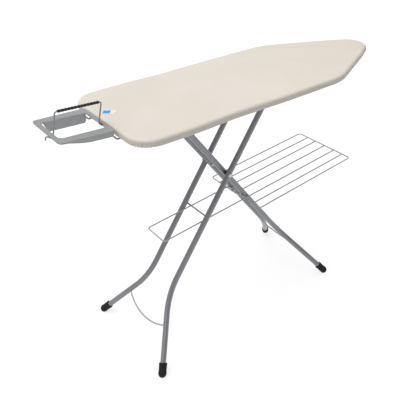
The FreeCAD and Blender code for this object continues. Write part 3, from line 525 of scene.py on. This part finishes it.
def buildCover():
    draw = np.random.default_rng(cover["seed"])
    rim = coverOutline(cover["spacing"])
    out, turn = outwardOf(rim)
    count = len(rim)
    along = np.r_[0, np.cumsum(np.hypot(*np.diff(rim, axis=0).T))]
    total = along[-1] + hypot(*(rim[0] - rim[-1]))
    pitch = cover["pleatPitch"]
    pleats = np.tanh(cover["pleatEdge"] * slowWaves(draw, along, total, 9, pitch, pitch * 1.7))
    patchy = 0.7 + 0.3 * slowWaves(draw, along, total, 6, 0.05, 0.2)
    scallop = slowWaves(draw, along, total, 8, 0.05, 0.16)
    slack = slowWaves(draw, along, total, 7, 0.08, 0.4)
    gather = np.clip((turn - cover["gatherFrom"]) / cover["gatherSpan"], 0, 1) ** 0.7 * patchy
    rings = []

    def ring(inset, height, pleating, waving):
        folds = cover["pleat"] * gather * pleats * pleating
        shift = -inset + folds + cover["scallop"] * slack * waving * cover["slackShare"]
        lift = cover["scallop"] * scallop * waving
        flat = rim + out * shift[:, None]
        rings.append(np.c_[flat, np.full(count, height) + lift])

    side = cover["cloth"] / 2
    hem, top = cover["hem"], cover["top"] - side
    bend, roll = cover["bend"], cover["roll"]
    for share in np.linspace(0, 1, cover["hemRings"]):      # hem, turned under
        inset = cover["hemReach"] + (bend - cover["hemReach"]) * share
        ring(inset, hem + cover["hemRise"] * (1 - share), 1.5 - 0.4 * share, 0.25)
    for angle in np.linspace(10, 90, cover["bendRings"]):   # lower bend
        ring(side + bend - bend * sin(radians(angle)), hem + bend - bend * cos(radians(angle)), 1.0, 0.35)
    wall = np.linspace(hem + bend, top - roll, cover["sideRings"] + 1)[1:]
    for index, height in enumerate(wall):                   # side
        ring(side, height, 1.0 - 0.1 * index, 0.55 - 0.08 * index)
    for angle in np.linspace(12, 90, cover["rollRings"]):   # roll over the padding
        ring(side + roll - roll * cos(radians(angle)), top - roll + roll * sin(radians(angle)),
             0.22 * (1 - angle / 100), 0.1 * (1 - angle / 90))
    edge = rim - out * (side + roll)
    spine = spineOf(edge, *cover["spine"])
    for share in np.linspace(0, 1, cover["topRings"])[1:]:
        share = share * share * (1.55 - 0.55 * share) if share < 1 else 1
        flat = edge + (spine - edge) * share
        rings.append(np.c_[flat, np.full(count, top)])
    points, faces = ringStack(rings)
    onTop = points[:, 2] >= top - 1e-6
    x, y = points[:, 0], points[:, 1]
    uneven = np.zeros(len(points))
    for _ in range(cover["crownWaves"]):                    # padding that was leant on and pressed
        wide = draw.uniform(0.07, 0.3)
        heading = draw.uniform(0, pi)
        phase = draw.uniform(0, 2 * pi)
        wave = np.sin((x * cos(heading) + y * sin(heading)) * 2 * pi / wide + phase)
        uneven += wave / cover["crownWaves"]
    points[:, 2] += np.where(onTop, cover["crown"] * uneven, 0)
    return points, faces, rim, total


points, faces, rim, rimLength = buildCover()
cottonCover = makePiece("cottonCover", points, faces, "board", finishes["cotton"],
                        stands=["fabric_cover"])
mergeClose(cottonCover, 0.00025)
thickened(cottonCover, "clothThickness", cover["cloth"])


# Felt underlay.

felt = {
    "inset": 0.0055,         # from the edge of the cover
    "low": 0.98025,
    "high": 0.98415,
    "edge": 0.0019,          # how far the rounded edge stands out
    "spacing": 0.006,
    "spine": (0.2, 0.07),
    "flatRings": 12,
    "edgeRings": 6,
}


def buildFelt():
    line = coverOutline(felt["spacing"])
    out, _ = outwardOf(line)
    low, high, edge = felt["low"], felt["high"], felt["edge"]
    middle = spineOf(line, *felt["spine"])
    inner = line - out * (felt["inset"] + edge)
    rings = []

    def ring(flat, height):
        rings.append(np.c_[flat, np.full(len(line), height)])

    for share in np.linspace(1, 0, felt["flatRings"]):
        ring(inner + (middle - inner) * share, low)
    for angle in np.linspace(-70, 70, felt["edgeRings"]):
        ring(inner + out * edge * cos(radians(angle)),
             (low + high) / 2 + (high - low) / 2 * sin(radians(angle)))
    for share in np.linspace(0, 1, felt["flatRings"]):
        ring(inner + (middle - inner) * share, high)
    return *ringStack(rings), line - out * felt["inset"]


points, faces, feltEdge = buildFelt()
feltUnderlay = makePiece("feltUnderlay", points, faces, "board", finishes["felt"],
                         stands=["felt_pad"])
mergeClose(feltUnderlay, 0.0002)


# Expanded metal top.

meshTop = {
    "long": 0.022,           # one diamond
    "short": 0.0105,
    "strand": 0.0021,
    "height": 0.97985,
    "thick": 0.0009,
    "inset": 0.0038,         # from the edge of the cover
    "overhang": 0.4,         # share of half a diamond that may lie past the edge before it is left out
    "smallest": 1e-7,        # area of the smallest strand kept at the edge
    "spacing": 0.006,
}


# Diamond openings between slit and drawn strands, one connected sheet.
def buildMeshTop():
    line = coverOutline(meshTop["spacing"])
    out, _ = outwardOf(line)
    edge = line - out * meshTop["inset"]
    upper = edge[:len(edge) // 2 + 1]
    order = np.argsort(upper[:, 0])
    xs, ys = upper[order, 0], np.abs(upper[order, 1])
    halfLong, halfShort = meshTop["long"] / 2, meshTop["short"] / 2
    shrink = 1 - meshTop["strand"] / halfShort * 0.5
    points, faces, known = [], [], {}

    def pointAt(x, y, key):
        if key not in known:
            x = min(max(x, xs[0]), xs[-1])
            limit = float(np.interp(x, xs, ys))
            known[key] = len(points)
            points.append((x, min(max(y, -limit), limit), meshTop["height"]))
        return known[key]

    columns = int((xs[-1] - xs[0]) / halfLong)
    rows = int(ys.max() / halfShort) + 1
    for column in range(columns + 1):
        for row in range(-rows, rows + 1):
            if (column + row) % 2:
                continue
            cx, cy = xs[0] + column * halfLong, row * halfShort
            limit = float(np.interp(min(cx, xs[-1]), xs, ys))
            if abs(cy) > limit + halfShort * meshTop["overhang"]:
                continue
            corners = [(1, 0), (0, 1), (-1, 0), (0, -1)]
            outer = [pointAt(cx + dx * halfLong, cy + dy * halfShort, (column + dx, row + dy, 0))
                     for dx, dy in corners]
            inner = [pointAt(cx + dx * halfLong * shrink, cy + dy * halfShort * shrink,
                             (column, row, dx, dy)) for dx, dy in corners]
            for index in range(4):
                after = (index + 1) % 4
                quad = (outer[index], outer[after], inner[after], inner[index])
                area = insideArea(np.array([points[corner][:2] for corner in quad]))
                if area > meshTop["smallest"]:
                    faces.append(quad)
    return points, faces


points, faces = buildMeshTop()
expandedTop = makePiece("expandedTop", points, faces, "board", finishes["boardPaint"], smooth=False,
                        stands=["mesh_top"])
thickened(expandedTop, "sheetThickness", meshTop["thick"])
print("expanded metal:", len(faces), "strands")


# Rubber feet.

foot = {
    "ballHeight": 0.015,     # middle of the ball above the floor
    "ball": 0.01565,
    "ballTo": 0.004,         # along the cap, from the middle of the ball
    "waistFrom": 0.009,
    "waist": 0.01495,
    "collar": 0.0158,
    "collarLong": 0.0065,
    "mouth": 0.0113,
    "lip": 0.0014,           # rounding of the collar's outer edge
    "length": 0.0535,
    "sides": 44,
}
feet = {"innerFootRear": ("inner_foot_cap_rear", "inner_leg_rear", "inner_legs"),
        "innerFootFront": ("inner_foot_cap_front", "inner_leg_front", "inner_legs"),
        "outerFootRear": ("outer_foot_cap_rear", "outer_leg_rear", "outer_legs"),
        "outerFootFront": ("outer_foot_cap_front", "outer_leg_front", "outer_legs")}


# Middle of a leg's lower end, and the direction up the leg from there.
def legEnd(legNode):
    places = pointsOf(legNode)
    ring = places[places[:, 2] < places[:, 2].min() + 0.03]
    middle = ring.mean(0)
    upwards = np.linalg.svd(ring - middle, full_matrices=False)[2][2]
    upwards = upwards if upwards[2] > 0 else -upwards
    return Vector(middle), Vector(upwards)


def buildFoot(name, capNode, legNode, body):
    middle, upwards = legEnd(legNode)
    ball = middle - upwards * ((middle.z - foot["ballHeight"]) / upwards.z)
    radius, waist, collar = foot["ball"], foot["waist"], foot["collar"]
    mouth = foot["length"] - radius
    waistFrom, collarFrom = foot["waistFrom"], mouth - foot["collarLong"]
    profile = [(-radius, 0.0001)]
    for angle in np.linspace(-80, -8, 12):
        profile.append((radius * sin(radians(angle)), radius * cos(radians(angle))))
    profile += [(foot["ballTo"], radius), (waistFrom - 0.0015, waist + 0.0004), (waistFrom, waist),
                (mouth * 0.55, waist + 0.0001), (collarFrom - 0.002, waist + 0.0003),
                (collarFrom, collar - 0.0002), (collarFrom + 0.0025, collar),
                (mouth - 0.0012, collar - 0.0002), (mouth, collar - foot["lip"]),
                (mouth, foot["mouth"]), (mouth - 0.002, foot["mouth"] - 0.0004)]
    points, faces = turned(profile, ball, upwards, foot["sides"])
    points = [Vector((point.x, point.y, max(point.z, 0.0))) for point in points]
    return makePiece(name, points, faces, body, finishes["rubber"], stands=[capNode])


for name, (capNode, legNode, body) in feet.items():
    buildFoot(name, capNode, legNode, body)
print("feet made")


# Sleeve on the holder's bail.

sleeve = {
    "radius": 0.00475,
    "groove": 0.0011,        # depth of the two grooves that wind round it
    "grooveShape": 0.6,      # below 1, narrow grooves between wide ribs
    "turns": 13.0,
    "endRound": 0.0022,      # length of the rounded ends
    "endShrink": 0.32,       # share of the radius lost at the very end
    "rings": 420,
    "sides": 28,
}


def buildSleeve():
    places = pointsOf("bail_sleeve")
    centred = places - places.mean(0)
    along = Vector(np.linalg.svd(centred, full_matrices=False)[2][0])
    along = along if along.x < 0 else -along
    reach = centred @ np.array(along)
    start = Vector(places.mean(0)) + along * float(reach.min())
    length = float(np.ptp(reach))
    first, second = sideAxes(along)
    points = []
    rings, sides = sleeve["rings"], sleeve["sides"]
    for ring in range(rings + 1):
        share = ring / rings
        middle = start + along * (share * length)
        endRound = min(1.0, min(share, 1 - share) * length / sleeve["endRound"])
        shrink = 1 - sleeve["endShrink"] * (1 - endRound) ** 2
        for side in range(sides):
            turn = 2 * pi * side / sides
            wave = 0.5 + 0.5 * cos(2 * (turn + pi * sleeve["turns"] * share))
            groove = sleeve["groove"] * (1 - wave ** sleeve["grooveShape"])
            radius = (sleeve["radius"] - groove) * shrink
            points.append(middle + (first * cos(turn) + second * sin(turn)) * radius)
    return points, ringFaces(rings + 1, sides)


points, faces = buildSleeve()
makePiece("ribbedSleeve", points, faces, "bail", finishes["sleeve"],
          stands=["bail_sleeve"])
print("sleeve made")


# Woven patch on the cover.

patch = {
    "long": 0.046,
    "wide": 0.031,
    "turn": -40.0,
    "gap": 0.0002,           # above the cover's own height
    "rise": 0.0006,          # of the middle above the edge
    "slope": 0.0012,         # width of the sloping edge
    "stitch": 0.00022,       # depth of the seam round the edge
    "seam": (0.0018, 0.0028),
    "band": (0.05, 0.58),    # blue area, as shares of the length and of the width
    "bandSides": (0.1, 0.9),
    "thick": 0.0004,
    "columns": 53,
    "rows": 35,
}


def buildPatch():
    low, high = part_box("cover_label")
    middle = (low + high) / 2
    acrossX = Vector((cos(radians(patch["turn"])), sin(radians(patch["turn"])), 0))
    acrossY = Vector((-acrossX.y, acrossX.x, 0))
    columns, rows = patch["columns"], patch["rows"]
    points, faces, blue = [], [], []
    base = cover["top"] + patch["gap"]
    for row in range(rows + 1):
        for column in range(columns + 1):
            u, v = column / columns - 0.5, row / rows - 0.5
            border = min(0.5 - abs(u), (0.5 - abs(v)) * patch["wide"] / patch["long"]) * patch["long"]
            rise = patch["rise"] * min(1.0, 0.25 + border / patch["slope"])
            stitch = patch["stitch"] if patch["seam"][0] < border < patch["seam"][1] else 0.0
            point = middle + acrossX * (u * patch["long"]) + acrossY * (v * patch["wide"])
            points.append((point.x, point.y, base + rise - stitch))
    for row in range(rows):
        for column in range(columns):
            corner = row * (columns + 1) + column
            faces.append((corner, corner + 1, corner + columns + 2, corner + columns + 1))
            u, v = (column + 0.5) / columns, (row + 0.5) / rows
            acrossBand = patch["bandSides"][0] < v < patch["bandSides"][1]
            blue.append(patch["band"][0] < u < patch["band"][1] and acrossBand)
    return points, faces, blue


points, faces, blue = buildPatch()
wovenPatch = makePiece("wovenPatch", points, faces, "board", finishes["labelWhite"],
                       stands=["cover_label"])
wovenPatch.data.materials.append(finishes["labelBlue"])
for face, isBlue in zip(wovenPatch.data.polygons, blue):
    face.material_index = 1 if isBlue else 0
thickened(wovenPatch, "patchThickness", patch["thick"], offset=-1.0)
print("patch made")


# Bolts where the legs cross.

bolt = {
    "stand": 0.0035,         # root of the head, in from its outermost point
    "washer": 0.0095,
    "washerThick": 0.0008,
    "head": 0.0075,
    "headSide": 0.0017,      # from the root to where the dome starts
    "dome": 0.0018,
    "step": 0.0001,
    "shank": 0.004,
    "shankShort": 0.003,
    "chamfer": 0.0009,
    "nut": 0.0065,
    "nutFrom": 0.001,
    "nutTo": 0.0058,
    "nutChamfer": (0.0006, 0.0008),  # along the bolt, across it
    "facet": 6e-6,           # faces larger than this stay flat
}


def buildBolts():
    low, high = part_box("pivot_bolts")
    middle = (low + high) / 2
    inner = float(np.abs(pointsOf("pivot_bolts")[:, 1]).min())
    outer = high.y
    shank, step, nut = bolt["shank"], bolt["step"], bolt["nut"]
    nutLong, nutDeep = bolt["nutChamfer"]
    domed = [(0.0, bolt["washer"]), (bolt["washerThick"], bolt["washer"]),
             (bolt["washerThick"] + step, bolt["head"]), (bolt["headSide"], bolt["head"] - step)]
    for angle in np.linspace(15, 82, 8):
        domed.append((bolt["headSide"] + bolt["dome"] * sin(radians(angle)),
                      bolt["head"] * cos(radians(angle)) ** 0.8))
    plain = [(0.0, shank - bolt["chamfer"]), (bolt["chamfer"], shank),
             (outer - inner - bolt["shankShort"], shank)]
    sixSided = [(bolt["nutFrom"], nut - nutDeep), (bolt["nutFrom"] + nutLong, nut), (bolt["nutTo"], nut)]
    shapes = []
    for side in (1, -1):
        out = Vector((0, side, 0))
        root = Vector((middle.x, side * (outer - bolt["stand"]), middle.z))
        start = Vector((middle.x, side * inner, middle.z))
        shapes.append(turned(domed, root, out, 40))
        shapes.append(turned(plain, start, out, 28))
        shapes.append(turned(sixSided, start, out, 6))
    return joined(*shapes)


points, faces = buildBolts()
bolts = makePiece("crossBolts", points, faces, "outer_legs", finishes["zinc"], smooth=False,
                  stands=["pivot_bolts"])
for face in bolts.data.polygons:
    face.use_smooth = len(face.vertices) == 4 and face.area < bolt["facet"]
print("bolts made")


# Latch spring.

coil = {"radius": 0.0040, "wire": 0.00065, "turns": 7, "stepsPerTurn": 20, "endGap": 0.0012}


def buildSpring():
    low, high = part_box("latch_spring")
    middle = (low + high) / 2
    line = []
    steps = coil["turns"] * coil["stepsPerTurn"]
    start = low.y + coil["endGap"]
    length = high.y - low.y - 2 * coil["endGap"]
    for step in range(steps + 1):
        share = step / steps
        turn = 2 * pi * coil["turns"] * share
        line.append(Vector((middle.x + coil["radius"] * cos(turn), start + length * share,
                            middle.z + coil["radius"] * sin(turn))))
    return tube(line, coil["wire"], 10)


points, faces = buildSpring()
makePiece("latchCoil", points, faces, "board", finishes["zinc"], stands=["latch_spring"])
print("spring made")


# Weld nuggets on the rack.

weld = {"radius": 0.0026, "wide": 0.0034, "wire": 0.0025, "rings": 6, "sides": 12}


def nugget(centre, along, wide, high):
    profile = [(wide * sin(radians(angle)), high * cos(radians(angle)))
               for angle in np.linspace(-80, 80, weld["rings"])]
    return turned(profile, centre, along, weld["sides"])


def buildRackWelds():
    frameLow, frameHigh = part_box("rack_frame_wire")
    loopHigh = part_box("rack_loop_wire")[1]
    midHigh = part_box("rack_middle_wires")[1]
    wire = weld["wire"]
    nearPlace = Vector((frameLow.x + wire, 0, frameLow.z + wire))
    farPlace = Vector((frameHigh.x - wire, 0, frameHigh.z - wire))
    up = (farPlace - nearPlace).normalized().cross(Vector((0, -1, 0)))
    up = up if up.z > 0 else -up
    across = [-(midHigh.y - wire), -(loopHigh.y - wire), 0.0, loopHigh.y - wire, midHigh.y - wire]
    shapes = []
    for y in across:
        for place in (nearPlace, farPlace):
            centre = Vector((place.x, y, place.z)) - up * wire
            shapes.append(nugget(centre, (0, 1, 0), weld["wide"], weld["radius"]))
    return joined(*shapes)


points, faces = buildRackWelds()
makePiece("rackWelds", points, faces, "rack", finishes["wirePaint"])
print("welds made")


# Floor, light and camera.

studio = {
    "floorHalf": 30.0,
    "floorTone": (0.28, 0.28, 0.28),
    "floorGlow": 0.76,       # bright paper, so that only a faint contact shade is left at the feet
    "sky": 0.5,
    "lamp": {"strength": 2.36, "softness": 60.0, "place": (-1.0, 0.35, 3.2)},
}


def addLamp(name, look):
    lamp = bpy.data.lights.new(name, "SUN")
    lamp.energy = look["strength"]
    lamp.angle = radians(look["softness"])
    holder = bpy.data.objects.new(name, lamp)
    bpy.context.scene.collection.objects.link(holder)
    holder.location = look["place"]
    holder.rotation_euler = (-Vector(look["place"])).to_track_quat("-Z", "Y").to_euler()


def buildStudio():
    half = studio["floorHalf"]
    floorMesh = bpy.data.meshes.new("studioFloor")
    floorMesh.from_pydata([(-half, -half, 0), (half, -half, 0), (half, half, 0), (-half, half, 0)],
                          [], [(0, 1, 2, 3)])
    floor = bpy.data.objects.new("studioFloor", floorMesh)
    bpy.context.scene.collection.objects.link(floor)
    paper = bpy.data.materials.new("studioPaper")
    paper.use_nodes = True
    shader = paper.node_tree.nodes["Principled BSDF"]
    shader.inputs["Base Color"].default_value = (*studio["floorTone"], 1)
    shader.inputs["Roughness"].default_value = 0.95
    shader.inputs["Specular IOR Level"].default_value = 0.05
    shader.inputs["Emission Color"].default_value = (1, 1, 1, 1)
    shader.inputs["Emission Strength"].default_value = studio["floorGlow"]
    floorMesh.materials.append(paper)
    world = bpy.data.worlds.new("studioSky")
    world.use_nodes = True
    world.node_tree.nodes["Background"].inputs["Color"].default_value = (1, 1, 1, 1)
    world.node_tree.nodes["Background"].inputs["Strength"].default_value = studio["sky"]
    bpy.context.scene.world = world
    addLamp("overheadLamp", studio["lamp"])
    bpy.context.scene.view_settings.view_transform = "Standard"


# The eye stands off the heel's near corner: turn is from +Y towards +X, tilt is down from level.
camera = {
    "place": (-1.26091, -1.54699, 1.77471),
    "turn": 39.62,
    "tilt": 29.44,
    "lens": 52.153,
    "shiftX": -0.0878,
    "shiftY": -0.1002,
}


def buildCamera():
    eye = bpy.data.cameras.new("camera")
    eye.sensor_width = 36.0
    eye.lens = camera["lens"]
    eye.shift_x = camera["shiftX"]
    eye.shift_y = camera["shiftY"]
    eye.clip_start = 0.05
    eye.clip_end = 100.0
    holder = bpy.data.objects.new("camera", eye)
    bpy.context.scene.collection.objects.link(holder)
    holder.location = camera["place"]
    holder.rotation_euler = (radians(90 - camera["tilt"]), 0, radians(-camera["turn"]))
    bpy.context.scene.camera = holder


buildStudio()
buildCamera()
print("studio ready")

bpy.context.view_layer.update()
